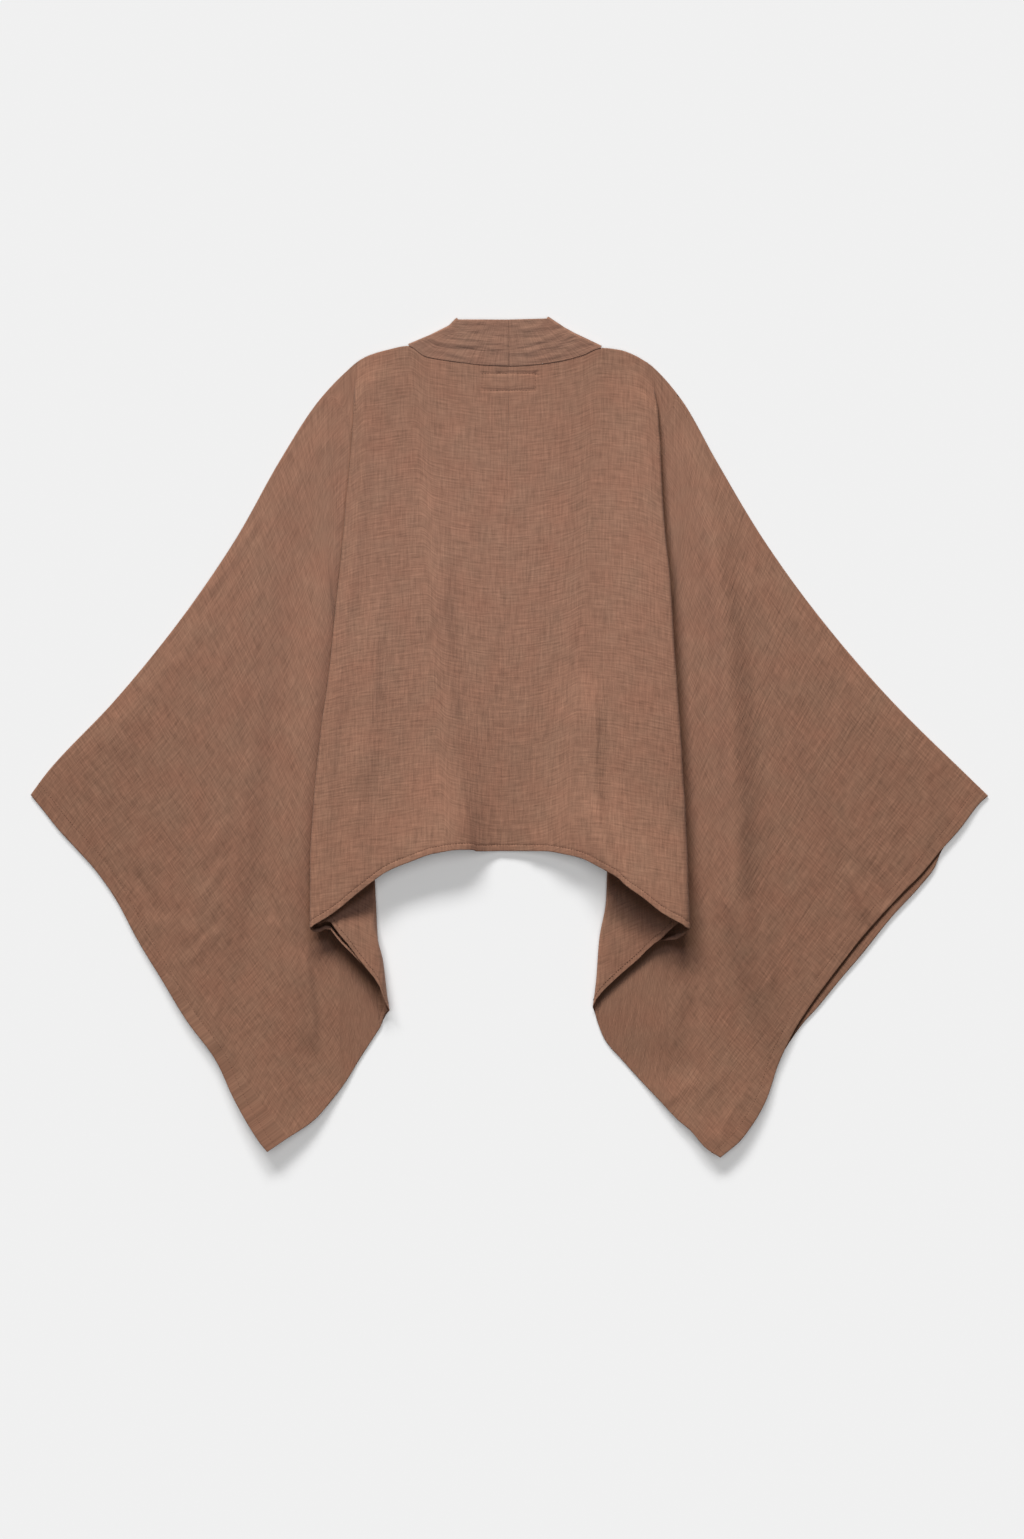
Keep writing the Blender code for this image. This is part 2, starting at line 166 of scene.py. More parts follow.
@dataclass
class Half:
    """The outline and folds of one half. Edges have rows of (out, up), and levels rows of (row, value)."""

    name: str
    hand: int
    top: tuple  # neck seam, shoulder and the sleeve's upper edge, centre back to cuff
    hem: tuple  # back hem, centre back to outer fold
    under_edge: tuple  # lower edge of the folded-under stretch, inner to outer fold
    lower: tuple  # the sleeve's lower edge, inner fold to cuff
    centre_back: tuple  # centre-back seam, hem to neck
    outer_fold: tuple  # silhouette of the body's side, hem to shoulder
    inner_fold: tuple  # silhouette of the inner fold, lower edge to shoulder
    knee: tuple  # row, out: where the front starts to drop towards the middle
    cuff: tuple  # the back's cuff, lower to upper corner
    front_cuff: tuple  # the front's cuff
    neck_point: tuple  # where neck seam, shoulder and front edge meet
    front_edge_end: tuple  # front edge at the front hem
    slant: tuple  # the collar's slanted fold, from above the neck point to its upper corner
    band_end: tuple  # inner edge of the band at the front hem
    collar_top: tuple  # the collar's upper edge at the centre back
    cuff_opening: tuple  # how far the back's cuff stands off the front's
    tip_lift: tuple  # how far both cuffs stand off the table
    edge_lift: tuple  # extra height of the body's folded side
    edge_reach: float  # how far in from the fold that height fades
    drape: tuple  # level of the back over the front edge
    back_knee: tuple  # row, out: where the back has reached its folded side's height
    mouth: tuple  # the pleat's row at the hem, as in PLEAT
    late: float  # how late the back rises towards its folded side
    sag: float  # how far the folded-under stretch sags below the hem
    lip: tuple  # out, how much shorter the front is than the back where it is folded under


RIGHT = Half(
    name="right",
    hand=1,
    top=((-9.5, 370.2), (1.5, 370.6), (26, 372.2), (50.5, 375.6), (72, 381.2), (92.5, 388.7),
         (110.5, 386.7), (124.5, 381.7), (133.5, 376.7), (142.5, 370.7), (172.5, 336.7), (206.5, 276.7),
         (254.5, 196.7), (312.5, 116.7), (381.5, 36.7), (462.5, -43.3), (479, -59.3)),
    hem=((-9.5, -114.3), (34.5, -114.3), (58.5, -118.3), (70.5, -121.3), (94.5, -132.3),
         (108, -140.8), (114.5, -147.3), (132.5, -160.3), (151.5, -175.3), (165.5, -183.3),
         (179.5, -190.3)),
    under_edge=((83, -271.3), (85.2, -265), (106.5, -241.9), (129.5, -221.8), (140, -211.1),
                (150, -204.3), (166.5, -202.3), (179.5, -192.3)),
    lower=((83, -271.3), (95.5, -303.3), (112.5, -323.3), (130.5, -343.3), (149.5, -363.3),
           (168.5, -383.3), (180.5, -393.3), (196.5, -411.3), (210.5, -420.3)),
    centre_back=((-9.5, -114.3), (-5.5, 76.7), (-2.5, 236.7), (-0.3, 370.7)),
    outer_fold=((179.5, -190.3), (176.5, -94.3), (173, -32.3), (166.5, 61.7), (160.5, 155.7),
                (154.5, 217.7), (148, 331.7), (142.5, 370.7)),
    inner_fold=((83, -271.3), (86.5, -243.3), (89.5, -203.3), (96.5, -163.3), (97.5, -135.3),
                (112.9, 10), (132.5, 190), (142.2, 278), (144, 293.5), (147.6, 309), (155, 330),
                (165, 346)),
    knee=((0, 122), (0.1, 139), (1, 88)),
    cuff=((210.5, -420.3), (232.5, -401.3), (256.5, -363.3), (268.5, -328.3), (283, -297.3),
          (298.5, -272.3), (334, -224.3), (358, -194.3), (391, -158.3), (412, -137.3),
          (431, -114.3), (449.5, -93.8), (470.9, -66.3), (479, -59.3)),
    front_cuff=((210, -420.3), (231.5, -401.3), (255, -363.3), (267.5, -328.3), (279.5, -307.3),
                (294.5, -286.3), (306.5, -273.3), (331, -243.3), (352, -218.8), (382, -181.3),
                (411.5, -149.3), (425, -132), (432.5, -114.3), (449.5, -94.3), (470, -67), (478.5, -59.3)),
    neck_point=(92.5, 388.7),
    front_edge_end=(60.5, -109),
    slant=((80.5, 395), (65.5, 402.7), (55.5, 408.6), (38.5, 420.7)),
    band_end=(5.5, -103),
    collar_top=(-0.5, 417.2),
    cuff_opening=((0, 0), (0.15, 0.3), (0.4, 1.0), (0.75, 1.0), (1, 0.4)),
    tip_lift=((0, 0), (0.1, 2), (0.3, 2.5), (0.7, 1.5), (0.85, 5), (1, 10)),
    edge_lift=((0, 0), (0.03, -1.6), (0.065, -3.2), (0.085, -0.7), (0.1, 0.2), (0.3, 5.5), (0.45, 9),
               (0.65, 9.5), (0.85, 6), (1, 0)),
    edge_reach=33.0,
    drape=((0, 4.5), (0.5, 5.4), (0.8, 7.0), (1, 17)),
    back_knee=((0, 122), (0.1, 139), (0.7, 120), (1, 120)),
    mouth=(1.0, 33.5, 6.5, 2.9, 10.0),
    late=1.5,
    sag=2.4,
    lip=((150, 0), (158, 7), (167, 14), (175, 16)),
)

LEFT = Half(
    name="left",
    hand=-1,
    top=((-1.5, 370.7), (26, 371.9), (54.5, 375.2), (70, 377.5), (84, 380.2), (101.5, 390.7),
         (122.5, 386.7), (139.5, 381.7), (149.5, 376.7), (157.5, 370.7), (190.5, 336.7), (229.5, 276.7),
         (274.5, 196.7), (329.5, 116.7), (394.5, 36.7), (460.5, -33.3), (479.2, -58.3)),
    hem=((9.5, -114.3), (35.5, -114.6), (37, -113.3), (49.5, -113.3), (73.5, -116.3), (97.5, -124.3),
         (121.5, -134.3), (148.5, -154.3), (177.5, -177.3), (199, -190.3)),
    under_edge=((119.5, -275.3), (121.5, -268), (131.5, -245.3), (153.5, -220.3), (169.5, -204.3),
                (181.5, -191), (188, -195), (195, -195), (199, -190.3)),
    lower=((119.5, -275.3), (124.5, -283.3), (137.5, -303.3), (150.5, -323.3), (162.5, -343.3),
           (177.5, -363.3), (195.5, -383.3), (225.5, -403.3), (241.5, -414.3)),
    centre_back=((9.5, -114.3), (5.5, 76.7), (2.5, 236.7), (0.3, 370.7)),
    outer_fold=((199, -190.3), (199, -125.3), (195.5, -63.3), (189.5, -0.3), (180.5, 61.7),
                (174, 124.7), (164.5, 217.7), (155.5, 342.7), (155.5, 370.7)),
    inner_fold=((119.5, -275.3), (121.5, -263.3), (126.5, -223.3), (131.5, -203.3), (133.5, -163.3),
                (134.5, -143.3), (141, 10), (149, 190), (151, 238), (152.8, 282), (154, 298),
                (156.5, 313), (163, 332), (178, 351)),
    knee=((0, 133), (0.1, 146), (1, 126)),
    cuff=((241.5, -414.3), (250.5, -403.3), (274.5, -363.3), (293.5, -323.3), (323, -283.3),
          (347.5, -243.3), (372, -203.3), (393.5, -163.3), (414.5, -133.3), (432.5, -113.3),
          (451, -93.3), (467, -73.3), (479.2, -58.3)),
    front_cuff=((240.5, -414.3), (249, -403.3), (273, -363.3), (292, -323.3), (321.5, -283.3),
                (346, -243.3), (370.5, -203.3), (392, -163.3), (413, -133.3), (431, -113.3),
                (449.5, -93.3), (465.5, -73.3), (478.2, -58.3)),
    neck_point=(101.5, 390.7),
    front_edge_end=(64.5, -106),
    slant=((79.5, 400.9), (60.5, 411.3), (52.8, 419.7)),
    band_end=(14.5, -103),
    collar_top=(0.5, 417.2),
    cuff_opening=((0, 0), (0.5, 0.6), (1, 0.3)),
    tip_lift=((0, 0), (0.3, 1), (0.6, 5), (0.85, 9), (1, 14)),
    edge_lift=((0, 0), (0.22, 0), (0.5, 0.2), (0.8, -0.4), (1, 0)),
    edge_reach=9.0,
    drape=((0, 4.5), (0.5, 5.4), (0.8, 9.0), (1, 25)),
    back_knee=((0, 133), (0.1, 146), (1, 126)),
    mouth=(1.0, 23.5, 3.0, 8.4, 10.0),
    late=1.0,
    sag=0.0,
    lip=((140, 0), (150, 2), (162, 6), (178, 8), (188, 8), (195, 9)),
)

# The pleat from the top down to each half's mouth: row, level of the seam between back and front body, radius
# of the outer fold, radius of the inner fold, middle of the front body's wall above the inner fold
PLEAT = (
    (0.00, 3.2, 1.90, 1.6, 2.4),
    (0.03, 5.2, 1.90, 1.6, 4.3),
    (0.06, 8.2, 1.90, 1.6, 7.2),
    (0.085, 9.0, 1.90, 1.7, 8.0),
    (0.20, 9.8, 2.00, 1.9, 8.6),
    (0.50, 11.2, 2.30, 2.0, 9.4),
    (0.80, 14.5, 3.20, 2.3, 9.8),
)

# The back at the centre-back seam: row, level
CENTRE_DRAPE = ((0.0, 4.5), (0.8, 4.8), (1.0, 4.6))

# The front body at the front edge: row, level
FRONT_EDGE_LEVEL = ((0.00, NECK_LEVEL - PITCH), (0.12, 0.6), (1.00, 0.6))


def through(table, at, column=1):
    """The smooth curve through a table's column, read at places in its first column.

    It never overshoots a row."""
    knots = np.array([row[0] for row in table], float)
    values = np.array([row[column] for row in table], float)
    steps = np.diff(knots)
    climbs = np.diff(values) / steps
    before, after = climbs[:-1], climbs[1:]
    level = before * after <= 0
    mean = 2 * before * after / np.where(level, 1, before + after)
    slopes = np.concatenate([climbs[:1], np.where(level, 0, mean), climbs[-1:]])
    at = np.clip(np.asarray(at, float), knots[0], knots[-1])
    i = np.clip(np.searchsorted(knots, at, side="right") - 1, 0, len(knots) - 2)
    step = knots[i + 1] - knots[i]
    s = (at - knots[i]) / step
    start = (1 + 2 * s) * (1 - s) ** 2 * values[i] + s * (1 - s) ** 2 * step * slopes[i]
    end = s * s * (3 - 2 * s) * values[i + 1] + s * s * (s - 1) * step * slopes[i + 1]
    return start + end


def straight(table, at):
    """The same through the second of two columns, with straight lines between the rows."""
    return np.interp(at, *zip(*table))


def guide(edge, v):
    """Distance out of a seam or fold at the rows v, which part its height evenly."""
    swapped = tuple((up, out) for out, up in edge)
    top, bottom = edge[-1][1], edge[0][1]
    return through(swapped, top + (bottom - top) * v)


def ease(s):
    """A smooth climb from 0 to 1."""
    s = np.clip(s, 0, 1)
    return s * s * (3 - 2 * s)


def ridge(off, height, width):
    """Height of a soft ridge at a distance off its middle."""
    return height * np.exp(-(off / width) ** 2)


def run_along(path):
    """Distance along a path at each of its points."""
    return np.concatenate([[0], np.cumsum(np.linalg.norm(np.diff(path, axis=0), axis=1))])


def even(strips):
    """Places from 0 to 1 that part a stretch into equal strips."""
    return np.arange(strips + 1) / strips


# Distances from a turned edge at which the mesh has a line, so that the fold of the hem, its stitched groove
# and the cloth beyond it all have a shape. The free edge is rounded over the first of them.
EDGE_LINES = np.array([0, 0.15, 0.5, 1.2, 2.4, 3.8, 5.2, 6.2, 6.6, 7.0, 7.4, 8.2, 10.0, 13.0])
SEAM_LINES = np.array([0, 0.15, 0.5, 1.2, 2.6])
HEM_DEPTH = 7.0
PANEL_LENGTH = 560.0
LABEL_REACH = 34.0
LABEL_STRIPS = 26


def panel_rows(fine_rows, rows_between):
    """Rows from the top seam to the hem, closer together at both edges and behind the neck."""
    top, neck = SEAM_LINES / PANEL_LENGTH, LABEL_REACH / PANEL_LENGTH
    hem = 1 - EDGE_LINES[::-1] / PANEL_LENGTH
    return np.concatenate([top, np.linspace(top[-1], neck, fine_rows + 1)[1:],
                           np.linspace(neck, hem[0], rows_between + 2)[1:-1], hem])


BACK_ROWS = panel_rows(24, 126)
OUTER_FOLD = 12
INNER_FOLD = 10
UNDER = np.linspace(0, 1, 13)[1:-1]
HANG = 5.0
LOOSE = 0.6
LIP = 1.5
HOLLOW = 6.5
SAG_MIDDLE = 26.0
SAG_REACH = 15.0
MOUTH_START = 0.8
UNDER_LEVEL = 3.6
TIP_REACH = 75.0
CUFF_SLANT = 1.24
FAR = 1000.0


def pleat(half, v):
    """The pleat's cross-section at one row, as the seam level between the two sheets runs through it.

    Gives out, level and the normal's two parts for each point. The two folds are arcs, joined by a
    stretch that touches both."""
    level, r_out, r_in = (through(PLEAT + (half.mouth,), v, column) for column in (1, 2, 3))
    level += through(half.edge_lift, v)
    skin = PITCH / 2 + LOOSE
    outer = np.array([guide(half.outer_fold, v) - skin - r_out, level - r_out])
    inner = np.array([guide(half.inner_fold, v) + skin + r_in, SLEEVE_LEVEL + r_in])
    span = inner - outer
    turn = math.atan2(span[1], span[0]) + math.acos((r_out + r_in) / math.hypot(*span))

    def arc(middle, radius, start, end, strips, side):
        """Points round one fold, with their normals."""
        angles = np.linspace(start, end, strips + 1)
        away = np.column_stack([np.cos(angles), np.sin(angles)])
        return np.column_stack([middle + radius * away, side * away])

    first = arc(outer, r_out, math.pi / 2, turn, OUTER_FOLD, 1)
    last = arc(inner, r_in, turn + math.pi, 1.5 * math.pi, INNER_FOLD, -1)
    leg = first[-1] + (last[0] - first[-1]) * UNDER[:, None]
    section = np.concatenate([first, leg, last])

    # The stretch between the folds hangs: it drops fast beside the outer fold, then lies almost level
    hanging = slice(OUTER_FOLD + 1, -INNER_FOLD - 1)
    drop = max(first[-1, 1] - last[0, 1], 0)
    section[hanging, 1] -= drop * ((1 - UNDER) - (1 - UNDER) ** HANG)
    slope = np.gradient(section[:, :2], axis=0)[hanging]
    section[hanging, 2:] = np.column_stack([-slope[:, 1], slope[:, 0]]) / np.hypot(*slope.T)[:, None]
    return section


@dataclass
class Sheet:
    """The middle of one panel's wall with where its stretches start and end."""

    places: np.ndarray  # rows, columns, (out, up, level)
    body: int  # columns of the body
    pleat_end: int  # first column of the sleeve
    hem: np.ndarray  # each row's distance from the turned lower edge
    cuff: np.ndarray  # each point's distance from the turned cuff, or far before the sleeve


def sheet_places(half, front, v, body_strips, sleeve_strips):
    """The panel laid in its folds, before any soft fold, from its first edge to its cuff."""
    folds = np.array([pleat(half, row) for row in v])
    fold_out, fold_level = folds[..., 0], folds[..., 1]
    level, r_out, _, knee_level = (through(PLEAT + (half.mouth,), v, column) for column in (1, 2, 3, 4))
    fold_start, fold_end = fold_out[:, 0], fold_out[:, -1]
    front_edge = half.neck_point[0] + (half.front_edge_end[0] - half.neck_point[0]) * v
    knee = straight(half.knee if front else half.back_knee, v)

    # Body: stretches between the guides, with the wall's height at each guide
    edge_level = straight(FRONT_EDGE_LEVEL, v) if front else through(half.drape, v)
    over_knee = knee_level if front else level + PITCH / 2
    over_fold = level - (r_out - FRONT_FOLD_RADIUS) if front else level + PITCH / 2
    first = front_edge + (SEAM_GAP / 2 if front else 0)
    stretches = [(first, knee, edge_level, over_knee, even(body_strips[1])),
                 (knee, fold_start, over_knee, over_fold, even(body_strips[2]))]
    if not front:
        centre = guide(half.centre_back, v) + SEAM_GAP / 2
        near_seam = np.append(SEAM_LINES, LABEL_REACH) / (half.neck_point[0] - half.top[0][0])
        shares = np.concatenate([near_seam[:-2], np.linspace(*near_seam[-2:], LABEL_STRIPS)[:-1],
                                 np.linspace(near_seam[-1], 1, body_strips[0])])
        stretches.insert(0, (centre, front_edge, through(CENTRE_DRAPE, v), edge_level, shares))
    out, height = [], []
    for start, end, low, high, shares in stretches:
        for g in shares[:-1]:
            out.append(start + (end - start) * g)
            near_fold = ridge(fold_start - out[-1], through(half.edge_lift, v), half.edge_reach)
            height.append(low + (high - low) * ease(g) ** half.late + near_fold)
    body = len(out)

    # Pleat: the seam level moved out along its normal, the front sheet's loosely round the outer fold
    points = folds.shape[1]
    k = np.arange(points)
    past_fold = ease((k - OUTER_FOLD / 2) / 4)
    loose = np.interp(k, [0, OUTER_FOLD, OUTER_FOLD + 6], [1, 1, 0])
    loose = loose * (r_out - FRONT_FOLD_RADIUS - PITCH / 2)[:, None]
    shift = -PITCH / 2 - loose if front else np.full_like(loose, PITCH / 2)

    # Sleeve: from the inner fold to the cuff, whose turned edge has lines that run along it
    cuff = guide(half.front_cuff if front else half.cuff, v)
    turned = EDGE_LINES[::-1] * CUFF_SLANT
    inside = cuff - turned[0]
    share = even(sleeve_strips)[1:]
    sleeve_out = np.column_stack([fold_end[:, None] + (inside - fold_end)[:, None] * share,
                                  cuff[:, None] - turned[1:]])
    out = np.column_stack(out + [fold_out, sleeve_out])

    # Lower edge: along the hem, then round the outer fold to the stretch under it, and so to the sleeve's
    pleat_end = body + points
    at, past = out[-1], np.arange(out.shape[1]) - body
    hem_to_under = np.clip(past / OUTER_FOLD, 0, 1)
    under_to_lower = np.clip((past - points + 1) / INNER_FOLD + 1, 0, 1)
    lower = (through(half.hem, at) * (1 - hem_to_under)
             + through(half.under_edge, at) * (hem_to_under - under_to_lower)
             + through(half.lower, at) * under_to_lower)
    if front:
        lower[:pleat_end] += FRONT_HEM_SHORTER
        lower[body:pleat_end] += (straight(half.lip, at[body:pleat_end]) - FRONT_HEM_SHORTER) * past_fold
    upper = through(half.top, out[0])
    up = upper + (lower - upper) * v[:, None]

    # Level: the sleeve lies flat, and its cuff stands a little off the table
    from_cuff = (cuff[:, None] - out) / CUFF_SLANT
    from_cuff[:, :pleat_end] = FAR
    raised = through(half.tip_lift, v)[:, None] * (1 - ease(from_cuff[:, pleat_end:] / TIP_REACH))
    flat = SLEEVE_LEVEL + (-PITCH if front else PITCH) / 2 + raised
    places = np.dstack([out, up, np.column_stack(height + [fold_level, flat])])
    pleated = places[:, body:pleat_end]
    pleated[..., 0] += shift * folds[..., 2]
    pleated[..., 2] += shift * folds[..., 3]

    # In the pleat's mouth the folded-under stretch sags a little way below the hem
    on_stretch = ease((k - OUTER_FOLD) / 4) * ease((points - INNER_FOLD - 1 - k) / 3)
    below_hem = through(half.hem, pleated[..., 0]) - pleated[..., 1]
    pleated[..., 2] -= on_stretch * ridge(below_hem - SAG_MIDDLE, half.sag, SAG_REACH)

    # Inside its hem the back's folded-under stretch dips, so that the hem is a lip with a hollow behind it
    if not front:
        behind_lip = ease(((1 - v) * PANEL_LENGTH - LIP) / 4) * ease((v - 0.9) / 0.06)
        beside_fold = past_fold * ease((OUTER_FOLD + 8 - k) / 4)
        pleated[..., 2] -= HOLLOW * behind_lip[:, None] * beside_fold

    # In the mouth it stays above the sleeve that it lies on
    least = UNDER_LEVEL + (PITCH if front else 0)
    in_mouth = (v[:, None] > MOUTH_START) & (on_stretch > 0)
    pleated[..., 2] = np.maximum(pleated[..., 2], np.where(in_mouth, least, 0))
    return Sheet(places, body, pleat_end, (1 - v)[:, None] * PANEL_LENGTH, from_cuff)


# How far the threads that run down the cloth lean in towards the body: share of the way from the neck point
# to the cuff along the upper edge, degrees
LEAN = ((0, 0), (0.12, 0), (0.3, 17), (0.5, 23), (0.75, 31), (1, 37))
FAN_LINES = 240


def threads(half, sheet):
    """Where each point lies across and along the cloth's threads, for its crinkles and weave."""
    out, up = sheet.places[..., 0], sheet.places[..., 1]
    grain = np.dstack([out, up - through(half.top, out[0])])
    start = np.linspace(half.neck_point[0], half.top[-1][0], FAN_LINES)
    edge = np.column_stack([start, through(half.top, start)])
    run = run_along(edge)
    lean = np.radians(through(LEAN, run / run[-1]))
    down = -np.column_stack([np.sin(lean), np.cos(lean)])
    step = np.diff(edge, axis=0)
    middle = (down[1:] + down[:-1]) / 2
    fanned = np.cumsum(step[:, 1] * middle[:, 0] - step[:, 0] * middle[:, 1])
    across = half.neck_point[0] + np.concatenate([[0], fanned])
    sleeve = np.s_[:, sheet.pleat_end:]
    flat = np.column_stack([out[sleeve].ravel(), up[sleeve].ravel()])
    side = (flat[:, :1] - edge[:, 0]) * down[:, 1] - (flat[:, 1:] - edge[:, 1]) * down[:, 0]
    i = np.clip((side < 0).sum(axis=1) - 1, 0, FAN_LINES - 2)
    row = np.arange(len(flat))
    part = np.clip(side[row, i] / (side[row, i] - side[row, i + 1] + 1e-9), 0, 1)
    u = across[i] + (across[i + 1] - across[i]) * part
    root = edge[i] + (edge[i + 1] - edge[i]) * part[:, None]
    grain[sleeve] = np.column_stack([u, -np.hypot(*(flat - root).T)]).reshape(out[sleeve].shape + (2,))
    return grain


LATTICE = 256
LATTICE_START = (60, 120)


def uneven(u, v, size_u, size_v, seed):
    """A soft uneven field from -1 to 1, with lumps of the given sizes."""
    lattice = np.random.default_rng(seed).uniform(-1, 1, (LATTICE + 1, LATTICE + 1))
    a, b = u / size_u + LATTICE_START[0], v / size_v + LATTICE_START[1]
    i, j = np.floor(a).astype(int), np.floor(b).astype(int)
    s, t = ease(a - i), ease(b - j)
    i, j = i % LATTICE, j % LATTICE
    return ((lattice[i, j] * (1 - s) + lattice[i + 1, j] * s) * (1 - t)
            + (lattice[i, j + 1] * (1 - s) + lattice[i + 1, j + 1] * s) * t)


def crinkled(crinkles, u, v):
    """Summed height of crinkles, given as height, size across and along the threads, and seed."""
    return sum(height * uneven(u, v, across, along, seed) for height, across, along, seed in crinkles)


def fold_height(x, y, folds, fade):
    """Height of soft folds at places x and y.

    Each fold has its half widths on the left and on the right, its height, and its path down or along the
    cloth. It fades in and out over a share of its length."""
    height = np.zeros_like(x)
    for left, right, rise, *path in folds:
        path = np.array(path, float)
        run = run_along(path)
        nearest = np.full(x.shape, np.inf)
        width = np.full(x.shape, float(left))
        along = np.zeros_like(x)
        for k in range(len(path) - 1):
            step = path[k + 1] - path[k]
            length = math.hypot(*step)
            s = np.clip(((x - path[k, 0]) * step[0] + (y - path[k, 1]) * step[1]) / length**2, 0, 1)
            dx, dy = x - path[k, 0] - s * step[0], y - path[k, 1] - s * step[1]
            distance = np.hypot(dx, dy)
            closer = distance < nearest
            nearest = np.where(closer, distance, nearest)
            width = np.where(closer, np.where(dx * step[1] < dy * step[0], right, left), width)
            along = np.where(closer, (run[k] + s * length) / run[-1], along)
        height += ridge(nearest, rise, width) * ease(along / fade) * ease((1 - along) / fade)
    return height


# Soft folds of the body: half width on the left and on the right, height, then the path down the cloth as x
# and y from the middle of the jacket. The ones from x 84 and 87 make the crease above the right mouth.
BODY_FOLDS = (
    (18, 10, 5.0, (-66, 250), (-66, 117), (-59, 17), (-49, -63), (-38, -190)),
    (20, 8, 1.5, (-43, 47), (-30, -160)),
    (12, 9, 2.5, (-82, 270), (-77, 197), (-70, 90)),
    (20, 5, 1.5, (-83, 7), (-78, -150)),
    (12, 9, 3.0, (-137, 150), (-136, 50), (-145, -70)),
    (12, 14, 3.5, (-151, 17), (-152, -118), (-150, -190)),
    (4, 7, 2.0, (-144, 345), (-144, 267), (-155, 177), (-164, 87)),
    (5, 7, 2.0, (-165, 117), (-178, -13), (-188, -180)),
    (5, 4, 1.0, (15, 50), (19, -63), (30, -160)),
    (6, 4, 1.0, (31, 20), (44, -73), (66, -160)),
    (10, 5, -1.0, (50, 150), (48, 10)),
    (5, 4, 1.0, (62, 50), (65, -60)),
    (30, 9, 7.5, (84, 75), (84.5, -3), (84.5, -43), (85, -63), (88, -83), (93, -103), (98, -123),
     (106, -165)),
    (20, 7, 3.5, (87, -55), (90, -83), (95, -103), (99, -123), (106, -155)),
    (4, 4, -1.0, (131, 350), (135, 217)),
)

# The same on the sleeves, first the right one's and then the left one's
SLEEVE_FOLDS = (
    (14, 18, 11.5, (176, 330), (204, 197), (217, 77), (226, -83), (225, -163), (238, -218), (262, -300),
     (280, -360)),
    (12, 6, 2.5, (230, 177), (266, 97), (288, 27)),
    (8, 9, 3.0, (271, 77), (293, -3), (326, -88)),
    (10, 5, 1.5, (308, -50), (342, -129)),
    (5, 5, 2.5, (334, -121), (362, -190)),
    (12, 5, -1.5, (352, -119), (386, -173)),
    (5, 5, 1.0, (416, -43), (421, -118)),
    (5, 5, 1.5, (254, -178), (264, -263)),
    (24, 10, 2.0, (172, -203), (174, -253), (156, -328)),
    (13, 20, -1.0, (190, -316), (150, -353)),
    (20, 5, 1.0, (191, -341), (145, -373)),
    (13, 5, 0.7, (229, -325), (179, -371)),
    (6, 5, 0.7, (242, -347), (210, -391)),
    (9, 9, 1.0, (224, -375), (199, -413)),
    (15, 10, 3.8, (-170, 270), (-175, 190), (-184, 117), (-193, 37), (-199, 0), (-206, -123), (-205, -210)),
    (16, 24, -4.5, (-216, 285), (-221, 137), (-232, 17), (-245, -103), (-259, -213), (-279, -325)),
    (60, 60, 2.4, (-226, 240), (-240, -60), (-262, -220), (-282, -320)),
    (5, 10, -1.0, (-246, 180), (-249, 72), (-264, 12), (-277, -70)),
    (9, 5, 1.5, (-240, 235), (-276, 177), (-320, 119)),
    (5, 5, 0.7, (-270, 105), (-302, 47)),
    (24, 9, 1.0, (-359, 32), (-397, -28)),
    (5, 8, 1.0, (-276, -73), (-312, -131)),
    (5, 5, 1.0, (-281, -119), (-313, -171)),
    (20, 5, 1.0, (-281, -155), (-329, -215)),
    (5, 5, 1.0, (-283, -187), (-331, -233)),
    (5, 5, -1.5, (-378, -127), (-348, -186)),
    (5, 5, -1.5, (-249, -133), (-231, -193)),
    (18, 5, 3.0, (-206, -203), (-198, -273), (-196, -325)),
    (5, 5, 1.0, (-300, -261), (-288, -319)),
)
FOLD_FADE = 0.28

# The outline of stitches behind the neck draws the cloth in: the same, along each side of the outline
west, south, east, north = -27.5, 346.9, 25.8, 363.7
LABEL_DENTS = (
    (1.5, 1.3, -0.50, (west - 2, north), (-8, north - 0.2)),
    (1.5, 1.3, -0.95, (-14, north), (8, north + 0.1), (east + 2, north - 0.3)),
    (1.5, 1.3, -0.80, (west - 3, south + 0.3), (0, south - 0.4), (east + 3, south + 0.3)),
    (1.3, 1.3, -0.50, (west, north + 1), (west - 0.5, south)),
    (1.3, 1.3, -0.50, (east, north + 1), (east, south)),
    (1.4, 1.4, -0.90, (east + 1, north + 3), (east + 1.5, north - 3)),
)
LABEL_FADE = 0.06
SLEEVE_PUFF = 3.0

# Turned edges, seams and crinkles. A pair is a ridge's or groove's height and width.
EDGE_ROLL = (0.9, 2.2)
SEAM_SINK = (0.22, 1.3)
HEM_RISE = 0.12
HEM_STEP = 1.2
GROOVE = (0.35, 0.7)
PUCKER = (0.18, 5.0)
CUFF_SHARE = 0.4
PATCHY_CRINKLES = ((0.19, 9, 45, 4), (0.20, 5, 26, 5), (0.09, 11, 4.5, 7))
BROAD_CRINKLES = ((0.2, 26, 70, 6),)


